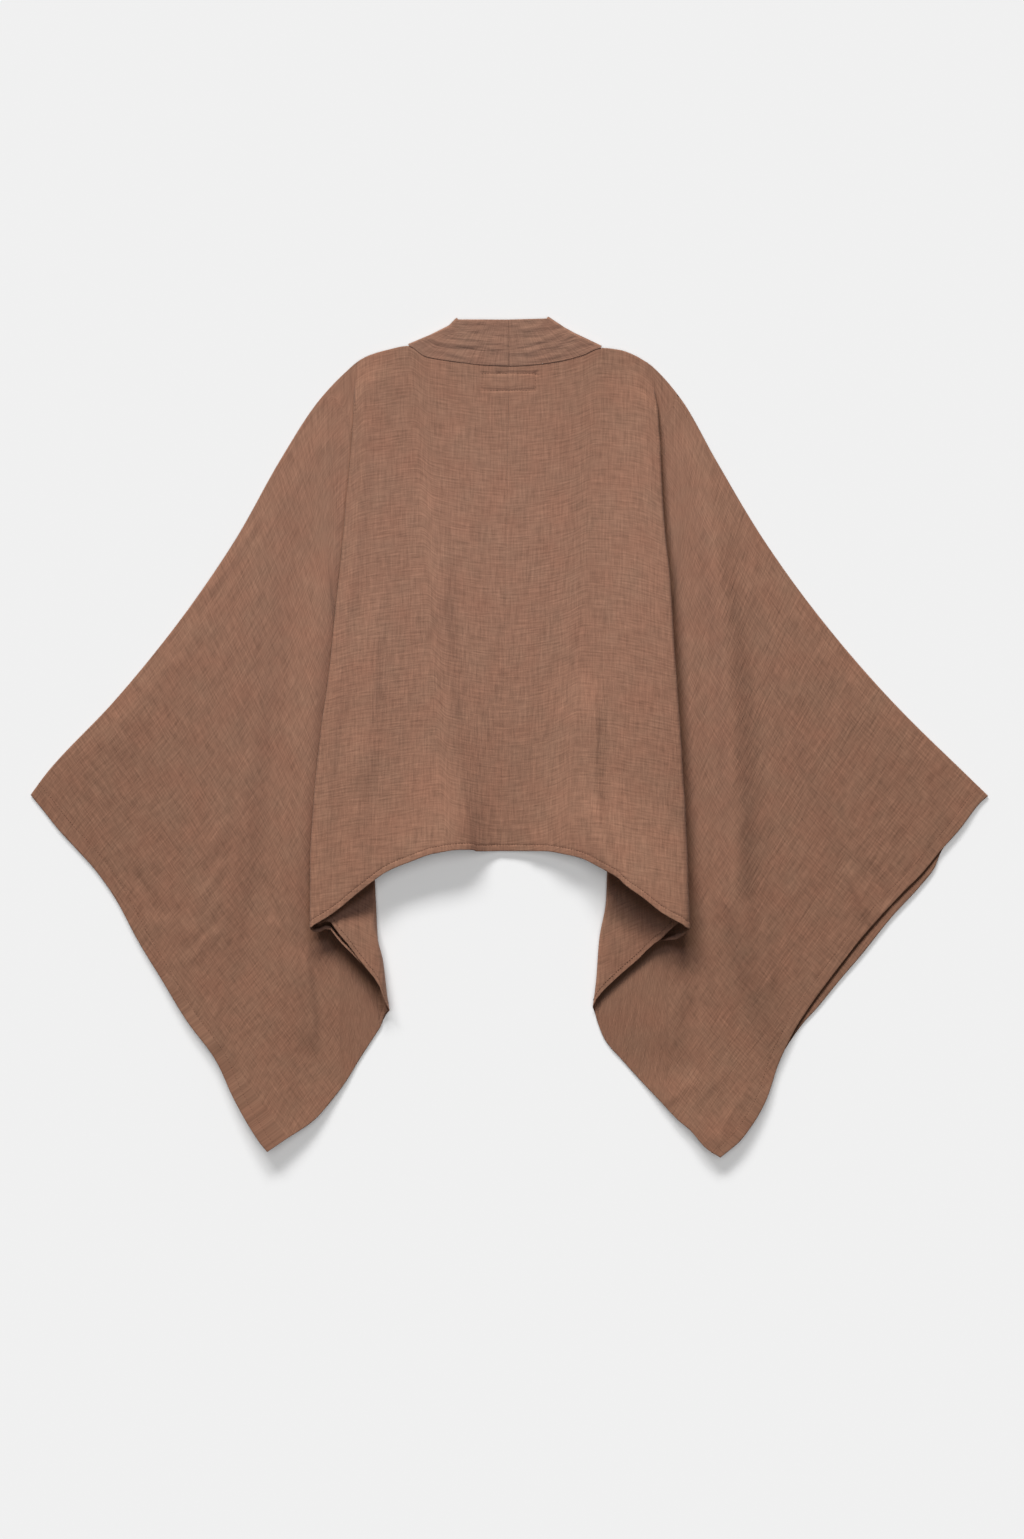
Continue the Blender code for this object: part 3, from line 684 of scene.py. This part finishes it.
def relief(half, sheet, grain):
    """How far the cloth stands off its laid middle: soft folds, crinkles, turned hem and stitched groove."""
    x, y = half.hand * sheet.places[..., 0], sheet.places[..., 1]
    columns = np.arange(x.shape[1])
    body = ease((sheet.body + 1 - columns) / 4.0)
    sleeve = ease((columns - sheet.pleat_end - 1) / 10.0)
    lift = fold_height(x, y, BODY_FOLDS, FOLD_FADE) * body
    lift += fold_height(x, y, SLEEVE_FOLDS, FOLD_FADE) * sleeve
    lift += fold_height(x, y, LABEL_DENTS, LABEL_FADE) * body

    # The sleeve's back stands off its front inside its edges
    share = np.clip((columns - sheet.pleat_end) / (x.shape[1] - sheet.pleat_end), 0, 1)
    rows = np.linspace(0, 1, x.shape[0])
    inside = ease(sheet.cuff / 70) * ease(sheet.hem / 60) * ease(rows / 0.12)[:, None]
    beside_body = ease((sheet.places[..., 0] - guide(half.outer_fold, rows)[:, None] + 2) / 30)
    lift += SLEEVE_PUFF * inside * sleeve * beside_body
    lift += through(half.cuff_opening, rows)[:, None] * ease((share - 0.75) / 0.25) * sleeve

    # The upper edge rolls down to its seam, and catches the light
    lift -= ridge(rows * PANEL_LENGTH, *EDGE_ROLL)[:, None] * (body + sleeve)

    # Crinkles along the threads, stronger in some places than in others, and calmer low on the sleeve and
    # high on the body
    u, v = grain[..., 0] * half.hand, grain[..., 1]
    patchy = 0.75 + 0.35 * uneven(u, v, 35, 45, 3)
    low, high = ease((rows[:, None] - 0.3) / 0.4), ease((0.75 - rows[:, None]) / 0.3)
    calm = 1 - 0.55 * sleeve * low - 0.5 * body * high
    crinkles = crinkled(PATCHY_CRINKLES, u, v) * patchy + crinkled(BROAD_CRINKLES, u, v)
    lift += crinkles * ease(rows / 0.03)[:, None] * calm

    # Turned hem and cuff, with the stitched groove at their inner side and small puckers across them
    cuffs = columns >= sheet.pleat_end
    for edge, strip in ((sheet.hem, ~cuffs), (sheet.cuff, CUFF_SHARE * cuffs)):
        turned = HEM_RISE * ease((HEM_DEPTH - edge) / HEM_STEP + 0.5)
        puckers = uneven(u + v, u - v, 4, 4, 8) * ridge(edge - HEM_DEPTH, *PUCKER)
        lift += (turned - ridge(edge - HEM_DEPTH, *GROOVE) + puckers) * strip

    # The centre-back seam sinks a little between the cloth on both sides
    return lift - ridge(sheet.places[..., 0] - sheet.places[:, :1, 0], *SEAM_SINK)


def facing(places):
    """The direction that each point of a grid faces."""
    down, across = np.gradient(places, axis=0), np.gradient(places, axis=1)
    normal = np.cross(down, across)
    return normal / np.linalg.norm(normal, axis=2, keepdims=True)


def moved_out(places, lift):
    """The places moved out from the cloth by a height, one at each of them."""
    return places + facing(places) * lift[..., None]


RIM_SHARES = (0.12, 0.6, 0.92)


def cloth_wall(what, half, places, thickness, free_start, grain, creased, material):
    """A closed wall round a grid of places, rounded towards its rims, and mirrored for the left half.

    Its first column is a rim if free_start says so, or else a seam. The threads are its UV map, and how
    creased the cloth is goes in as an attribute."""
    rows, columns = places.shape[:2]
    full = np.ones((rows, columns, 1))
    for k, share in enumerate(RIM_SHARES):
        for rim in [full[k], full[-1 - k], full[:, -1 - k]] + [full[:, k]] * free_start:
            np.minimum(rim, share, out=rim)
    half_wall = thickness * full / 2 * facing(places)
    points = np.stack([places + half_wall, places - half_wall]).reshape(-1, 3) * (half.hand * MM, MM, MM)
    face = rows * columns
    index = np.arange(face).reshape(rows, columns)
    quads = [np.stack([index[:-1, :-1], index[1:, :-1], index[1:, 1:], index[:-1, 1:]], -1).reshape(-1, 4)]
    quads.append(quads[0][:, ::-1] + face)
    for rim in (index[:, 0], index[::-1, -1], index[0, ::-1], index[-1]):
        quads.append(np.stack([rim[:-1], rim[:-1] + face, rim[1:] + face, rim[1:]], -1))
    quads = np.concatenate(quads)
    if half.hand < 0:
        quads = quads[:, ::-1]
    name = f"{what}_{half.name}"
    mesh = bpy.data.meshes.new(name)
    mesh.from_pydata(points.tolist(), [], quads.tolist())
    uv = mesh.uv_layers.new(name="threads")
    corner = np.empty(len(mesh.loops), np.int32)
    mesh.loops.foreach_get("vertex_index", corner)
    flat = np.tile(grain.reshape(-1, 2) * (half.hand * MM, MM), (2, 1))
    uv.data.foreach_set("uv", flat[corner].astype(np.float32).ravel())
    strength = mesh.attributes.new("creased", "FLOAT", "POINT")
    strength.data.foreach_set("value", np.tile(creased.ravel(), 2).astype(np.float32))
    mesh.shade_smooth()
    mesh.materials.append(material)
    piece = add_object(name, mesh)
    jacket.objects.link(piece)
    return piece


def node_maker(tree):
    """What adds a node to a tree, fills its inputs and gives its outputs."""
    def node(kind, inputs=(), **settings):
        made = tree.nodes.new(kind)
        for key, value in settings.items():
            setattr(made, key, value)
        fill(made, dict(inputs))
        return made.outputs
    return node


CRINKLE_RELIEF = 0.4
CROSS_CRINKLE_RELIEF = 0.13
STREAK_RELIEF = 0.12
CROSS_STREAK_RELIEF = 0.11


def gauze(name, colour):
    """Double gauze: a matte loose weave, crinkled along its threads, with slightly uneven dye, and painted
    light and shade on its streaks and crinkles.
    """
    material, tree, shader = new_material(name)
    node = node_maker(tree)

    def noise(coordinates, scale, detail, roughness):
        """A noise with its own number of lumps for each metre on each axis."""
        turned = node("ShaderNodeMapping", {"Vector": coordinates, "Scale": scale})["Vector"]
        return node("ShaderNodeTexNoise", {"Vector": turned, "Scale": 1.0, "Detail": detail,
                                           "Roughness": roughness})["Fac"]

    def weigh(value, low, high):
        """The value, spread over a new range."""
        return node("ShaderNodeMapRange", {"Value": value, "From Min": 0.25, "From Max": 0.75, "To Min": low,
                                           "To Max": high})["Result"]

    def sum_of(total, *others):
        """The sum of node outputs."""
        for other in others:
            total = node("ShaderNodeMath", {0: total, 1: other}, operation="ADD")[0]
        return total

    place = node("ShaderNodeTexCoord")
    down_streaks = noise(place["UV"], (600, 50, 1), 2, 0.6)
    cross_streaks = noise(place["UV"], (50, 600, 1), 2, 0.6)
    crinkles = noise(place["UV"], (260, 30, 1), 3, 0.55)
    cross_crinkles = noise(place["UV"], (34, 230, 1), 3, 0.55)
    mottle = noise(place["Object"], (26, 26, 26), 3, 0.5)
    cloudy = noise(place["Object"], (34, 34, 34), 2, 0.5)

    # Colour: streaks of slub in both directions and cloudy dye, lighter and darker round the cloth's brown.
    # The streaks and crinkles take their tone from the noise of their bump, lighter where they stand raised
    # and darker
    # where they dip: painted light and shade on them.
    tone_and_painted_shade = sum_of(weigh(down_streaks, -0.18, 0.18), weigh(cross_streaks, -0.2, 0.2),
                  weigh(crinkles, -0.05, 0.05), weigh(mottle, 0.98, 1.02))
    redder = (colour[0] * 1.015, colour[1] * 0.965, colour[2] * 0.96, 1)
    greener = (colour[0] * 0.985, colour[1] * 1.025, colour[2] * 1.03, 1)
    dye = node("ShaderNodeMix", {"Factor": weigh(cloudy, 0, 1), "A": redder, "B": greener}, data_type="RGBA")
    brown = node("ShaderNodeVectorMath", {0: dye["Result"], "Scale": tone_and_painted_shade}, operation="SCALE")

    # Height: crinkles along the threads and the finer weave on them
    creased = node("ShaderNodeAttribute", attribute_name="creased")["Fac"]
    folded = weigh(crinkles, 0, CRINKLE_RELIEF * MM)
    folded = node("ShaderNodeMath", {0: folded, 1: creased}, operation="MULTIPLY")[0]
    height = sum_of(folded, weigh(down_streaks, 0, STREAK_RELIEF * MM),
                    weigh(cross_streaks, 0, CROSS_STREAK_RELIEF * MM),
                    weigh(cross_crinkles, 0, CROSS_CRINKLE_RELIEF * MM))
    bump = node("ShaderNodeBump", {"Strength": 1.0, "Distance": 1.0, "Height": height})
    fill(shader, {"Base Color": brown["Vector"], "Normal": bump["Normal"], "Roughness": 0.92,
                  "Specular IOR Level": 0.15, "Sheen Weight": 0.08, "Sheen Roughness": 0.5})
    return material


def stitch_tree():
    """Geometry Nodes that lay short rounded stitches along a path, a little uneven in length."""
    tree = bpy.data.node_groups.new("stitch_row", "GeometryNodeTree")
    node = node_maker(tree)
    for label, kind in (("Path", "Geometry"), ("Pitch", "Float"), ("Length", "Float"), ("Thickness", "Float"),
                        ("Seed", "Int"), ("Thread", "Material")):
        tree.interface.new_socket(label, in_out="INPUT", socket_type=f"NodeSocket{kind}")
    tree.interface.new_socket("Stitches", in_out="OUTPUT", socket_type="NodeSocketGeometry")
    given = node("NodeGroupInput")
    line = node("GeometryNodeMeshToCurve", {"Mesh": given["Path"]})["Curve"]
    steps = {"Curve": line, "Length": given["Pitch"]}
    stops = node("GeometryNodeResampleCurve", steps, mode="LENGTH")["Curve"]
    bead = node("GeometryNodeMeshUVSphere", {"Segments": 6, "Rings": 4, "Radius": 0.5})["Mesh"]
    share = node("FunctionNodeRandomValue", {2: 0.8, 3: 1.1, "Seed": given["Seed"]}, data_type="FLOAT")[1]
    length = node("ShaderNodeMath", {0: given["Length"], 1: share}, operation="MULTIPLY")[0]
    thick = given["Thickness"]
    size = node("ShaderNodeCombineXYZ", {"X": length, "Y": thick, "Z": thick})["Vector"]
    along = node("GeometryNodeInputTangent")["Tangent"]
    turn = node("FunctionNodeAlignRotationToVector", {"Vector": along}, axis="X")["Rotation"]
    rows = node("GeometryNodeInstanceOnPoints", {"Points": stops, "Instance": bead, "Scale": size,
                                                 "Rotation": turn})["Instances"]
    solid = node("GeometryNodeRealizeInstances", {"Geometry": rows})["Geometry"]
    dyed = node("GeometryNodeSetMaterial", {"Geometry": solid, "Material": given["Thread"]})["Geometry"]
    node("NodeGroupOutput", {"Stitches": dyed})
    return tree


def thread_material(name, colour):
    """Matte sewing thread, darker and lighter from stitch to stitch."""
    material, tree, shader = new_material(name)
    node = node_maker(tree)
    spot = node("ShaderNodeTexCoord")["Object"]
    patches = node("ShaderNodeTexNoise", {"Vector": spot, "Scale": 450.0})["Fac"]
    dark, light = ([n * share for n in colour] + [1] for share in (0.8, 1.25))
    shade = node("ShaderNodeMix", {"Factor": patches, "A": dark, "B": light}, data_type="RGBA")["Result"]
    fill(shader, {"Base Color": shade, "Roughness": 0.8, "Specular IOR Level": 0.2})
    return material


STITCH_PITCH = 2.9
STITCH_LENGTH = 2.2
STITCH_THICKNESS = 0.55
STITCH_LINE = -10
STITCH_SINK = 0.08
# The hem thread is much darker than the cloth: partly the thread's own brown, partly painted shade of the
# stitched groove
HEM_THREAD_AND_GROOVE_SHADE = (0.150, 0.070, 0.043)
CLOTH_THREAD_BROWN = (0.27, 0.135, 0.085)
groove_shaded_thread = thread_material("groove_shaded_thread", HEM_THREAD_AND_GROOVE_SHADE)
cloth_thread = thread_material("cloth_coloured_thread", CLOTH_THREAD_BROWN)
stitch_nodes = stitch_tree()


def stitches(name, hand, paths, seed, thread):
    """One piece of stitches along paths of (out, up, level), mirrored for the left half."""
    points, edges = [], []
    for path in paths:
        edges += [(len(points) + k, len(points) + k + 1) for k in range(len(path) - 1)]
        points += (path * (hand * MM, MM, MM)).tolist()
    mesh = bpy.data.meshes.new(name + "_path")
    mesh.from_pydata(points, edges, [])
    carrier = add_object(name + "_path", mesh)
    row = carrier.modifiers.new("stitches", "NODES")
    row.node_group = stitch_nodes
    values = {"Pitch": STITCH_PITCH * MM, "Length": STITCH_LENGTH * MM, "Thickness": STITCH_THICKNESS * MM,
              "Seed": seed, "Thread": thread}
    for socket in stitch_nodes.interface.items_tree:
        if socket.name in values:
            row[socket.identifier] = values[socket.name]
    made = bpy.data.meshes.new_from_object(carrier.evaluated_get(bpy.context.evaluated_depsgraph_get()))
    bpy.data.objects.remove(carrier)
    made.shade_smooth()
    piece = add_object(name, made)
    jacket.objects.link(piece)
    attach(piece, "root")
    return piece


def on_face(places, side):
    """The places moved out to the cloth's face on one side, so that a thread lies half sunk in it."""
    return places + facing(places) * side * (CLOTH / 2 + STITCH_THICKNESS / 2 - STITCH_SINK)


GAUZE_BROWN = (0.294, 0.1475, 0.0915)
brown_gauze = gauze("brown_double_gauze", GAUZE_BROWN)
BACK_BODY_STRIPS = (26, 26, 16)
BACK_SLEEVE_STRIPS = 128
back_panels = {}
for half in (LEFT, RIGHT):
    sheet = sheet_places(half, False, BACK_ROWS, BACK_BODY_STRIPS, BACK_SLEEVE_STRIPS)
    grain = threads(half, sheet)
    sheet.places = moved_out(sheet.places, relief(half, sheet, grain))
    u, v = grain[..., 0] * half.hand, grain[..., 1]

    # It is most creased low on the body
    on_body = ease((sheet.pleat_end - np.arange(grain.shape[1])) / 8)
    low = ease((BACK_ROWS[:, None] - 0.25) / 0.5)
    creased = (0.35 + 1.15 * low) * on_body + (0.75 - 0.25 * low) * (1 - on_body)
    creased *= 1 + 0.5 * uneven(u, v, 18, 60, 31)
    piece = cloth_wall("back", half, sheet.places, CLOTH, False, grain, creased, brown_gauze)
    back_panels[half.name] = piece
    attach(piece, "root")
    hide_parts(f"back_{half.name}_panel")
    face = on_face(sheet.places, 1)
    tip = sheet.body + OUTER_FOLD // 2
    row = face[STITCH_LINE, :tip]
    # The hem's stitches, in the thread that also paints the stitched groove's shade
    stitches(f"stitches_hem_{half.name}", half.hand, [row], 1, groove_shaded_thread)
    row = face[2:-2, STITCH_LINE]
    stitches(f"stitches_cuff_{half.name}", half.hand, [row], 4, cloth_thread)

# The outline of stitches behind the neck, laid on both back panels
depths = bpy.context.evaluated_depsgraph_get()
faces = [BVHTree.FromObject(panel, depths) for panel in back_panels.values()]


def on_back(x, y):
    """The place on the back's upper face at x and y, raised for a thread."""
    hits = [tree.ray_cast((x * MM, y * MM, 0.1), (0, 0, -1))[0] for tree in faces]
    level = max(hit.z for hit in hits if hit) / MM
    return (x, y, level + STITCH_THICKNESS / 2 - STITCH_SINK)


corners = ((west, north), (east, north), (east, south), (west, south), (west, north))
outline = []
for (x0, y0), (x1, y1) in zip(corners, corners[1:]):
    steps = max(2, round(math.hypot(x1 - x0, y1 - y0)))
    outline.append(np.array([on_back(x0 + (x1 - x0) * g, y0 + (y1 - y0) * g) for g in even(steps)]))
neck_outline = stitches("stitches_neck_outline", 1, outline, 2, cloth_thread)


# Front panels
# Each front is one piece of the same gauze, body and sleeve in one, joined to the back along the shoulder,
# the sleeve's upper edge and the underarm. It lies on the table and shows where it wraps round the pleat.

FRONT_ROWS = panel_rows(4, 90)
FRONT_BODY_STRIPS = (0, 22, 14)
FRONT_SLEEVE_STRIPS = 40
FRONT_CRINKLES = ((0.22, 9, 55, 14), (0.12, 5, 24, 15))
for half in (LEFT, RIGHT):
    sheet = sheet_places(half, True, FRONT_ROWS, FRONT_BODY_STRIPS, FRONT_SLEEVE_STRIPS)
    grain = threads(half, sheet)
    u, v = grain[..., 0] * half.hand, grain[..., 1]
    columns = np.arange(sheet.places.shape[1])
    off_table = ease((sheet.pleat_end - 3 - columns) / 8) * ease((columns - sheet.body) / 6)
    sheet.places = moved_out(sheet.places, crinkled(FRONT_CRINKLES, u, v) * off_table)
    creased = 0.6 + 0.3 * uneven(u, v, 18, 60, 32)
    piece = cloth_wall("front", half, sheet.places, CLOTH, True, grain, creased, brown_gauze)
    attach(piece, "root")
    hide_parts(f"front_{half.name}_panel")
    face = on_face(sheet.places, -1)
    shown = slice(sheet.body + OUTER_FOLD, sheet.pleat_end - INNER_FOLD // 2)
    row = face[STITCH_LINE, shown]
    # The front's hem stitches, in the thread that also paints the stitched groove's shade
    stitches(f"stitches_front_{half.name}", half.hand, [row], 3, groove_shaded_thread)


# Collar band
# A long strip of the gauze folded double and sewn to the neck and both front edges, with a seam at the
# centre back. It turns over at each side of the neck and runs down the fronts, out of sight under the back.

BAND = 2.2
BAND_LEVEL = 1.2
BAND_ACROSS = 48
NECK_STRIPS = 48
BAND_DOWN = 70
SLANT_FOLD = 10
BAND_WIDTH = 50
NECK_REACH = 100


def band_places(half):
    """The middle of the band's wall, from the centre back round its slanted fold to the front hem."""
    across = np.concatenate([[0, 0.004, 0.012], np.linspace(0.03, 0.97, BAND_ACROSS - 5), [0.988, 0.996, 1]])
    fold_radius = (NECK_LEVEL - BAND_LEVEL) / 2
    slant = np.array((half.neck_point,) + half.slant)
    neck_point, corner = slant[0], slant[-1]
    run = corner - neck_point
    outward = np.array([run[1], -run[0]]) / math.hypot(*run)
    inset = -(fold_radius + BAND / 2) * outward
    along = (slant - neck_point) @ run / (run @ run)
    sag = np.interp(across, along, (slant - neck_point) @ outward)[:, None] * outward

    def line(seam_end, free_end, level, sagging):
        """One row across the band, from its seam with the body to its free folded edge."""
        flat = seam_end + (free_end - seam_end) * across[:, None] + sag * sagging
        return np.column_stack([flat, np.full(len(across), level)])

    rows = []
    centre_out = half.centre_back[-1][0] + SEAM_GAP / 2
    top_centre = np.array([half.collar_top[0] + SEAM_GAP / 2, half.collar_top[1]])
    near_seam = SEAM_LINES / NECK_REACH
    for g in np.concatenate([near_seam[:-1], np.linspace(near_seam[-1], 1, NECK_STRIPS)]):
        seam_out = centre_out + ((neck_point + inset)[0] - centre_out) * g
        seam_end = np.array([seam_out, through(half.top, seam_out) + SEAM_GAP])
        free_end = top_centre + (corner + inset - top_centre) * g
        rows.append(line(seam_end, free_end, NECK_LEVEL, g**2))
    for angle in np.linspace(math.pi / 2, -math.pi / 2, SLANT_FOLD + 1)[1:-1]:
        push = fold_radius * math.cos(angle) * outward
        level = NECK_LEVEL - fold_radius + fold_radius * math.sin(angle)
        rows.append(line(seam_end + push, free_end + push, level, 1))
    for g in even(BAND_DOWN):
        seam = seam_end + (np.array(half.front_edge_end) - (SEAM_GAP / 2, 0) - seam_end) * g
        free = free_end + (np.array(half.band_end) - free_end) * g
        rows.append(line(seam, free, BAND_LEVEL, (1 - g) ** 2))
    return np.array(rows), across


# Crinkles along the collar: half width below and above, height, then the path from left to right
COLLAR_FOLDS = (
    (2.2, 3.5, 0.9, (-90, 400), (-72, 395), (-60, 392.5), (-38, 391.5), (-12, 392)),
    (2.0, 3.0, 0.8, (-52, 415), (-40, 413), (-28, 413), (-16, 412), (-4, 412)),
    (2.0, 3.0, 0.9, (-64, 399), (-48, 398), (-32, 397), (-14, 395), (0, 394)),
    (2.0, 3.0, 0.7, (-30, 388), (-12, 388.5), (0, 389)),
    (2.0, 3.0, 0.7, (-74, 388), (-56, 382), (-40, 378), (-20, 377)),
    (2.2, 3.5, 1.1, (0, 389.5), (12, 391), (26, 394.5), (40, 398.5), (52, 403), (66, 409)),
    (2.2, 3.5, 1.1, (2, 383), (20, 385.5), (33, 389), (46, 392), (58, 397), (72, 402)),
    (2.0, 3.0, 0.8, (4, 380), (16, 382), (34, 384), (52, 389)),
    (2.0, 3.0, 0.7, (6, 407), (24, 408), (40, 412)),
    (2.0, 3.0, 0.6, (20, 377), (44, 380), (66, 388)),
)
COLLAR_FADE = 0.35
COLLAR_FOLD_SHARE = 0.8
COLLAR_CRINKLES = ((0.26, 5.0, 45, 21), (0.17, 2.6, 16, 22))
CENTRE_SINK = (0.45, 1.2)
CENTRE_SWELL = (0.2, 1.4)
CENTRE_SWELL_OFF = 3.2
BAND_BROWN = (0.280, 0.146, 0.094)
band_gauze = gauze("brown_double_gauze_band", BAND_BROWN)
for half in (LEFT, RIGHT):
    places, across = band_places(half)
    width, length = np.meshgrid(across * BAND_WIDTH, run_along(places[:, 0]))
    grain = np.dstack([width, length])
    behind_neck = ease((NECK_STRIPS + 8 - np.arange(len(places))) / 6.0)[:, None]
    signed = half.hand * length
    lift = fold_height(half.hand * places[..., 0], places[..., 1], COLLAR_FOLDS, COLLAR_FADE)
    lift = COLLAR_FOLD_SHARE * lift + crinkled(COLLAR_CRINKLES, width, signed)
    lift += ridge(length - CENTRE_SWELL_OFF, *CENTRE_SWELL) - ridge(length + SEAM_GAP, *CENTRE_SINK)
    lift *= behind_neck * ease(across / 0.05)
    places = moved_out(places, lift)
    creased = 0.7 + 0.3 * uneven(width, signed, 8, 40, 33)
    piece = cloth_wall("collar_band", half, places, BAND, False, grain, creased, band_gauze)
    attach(piece, "root")
    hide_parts(f"collar_{half.name}")
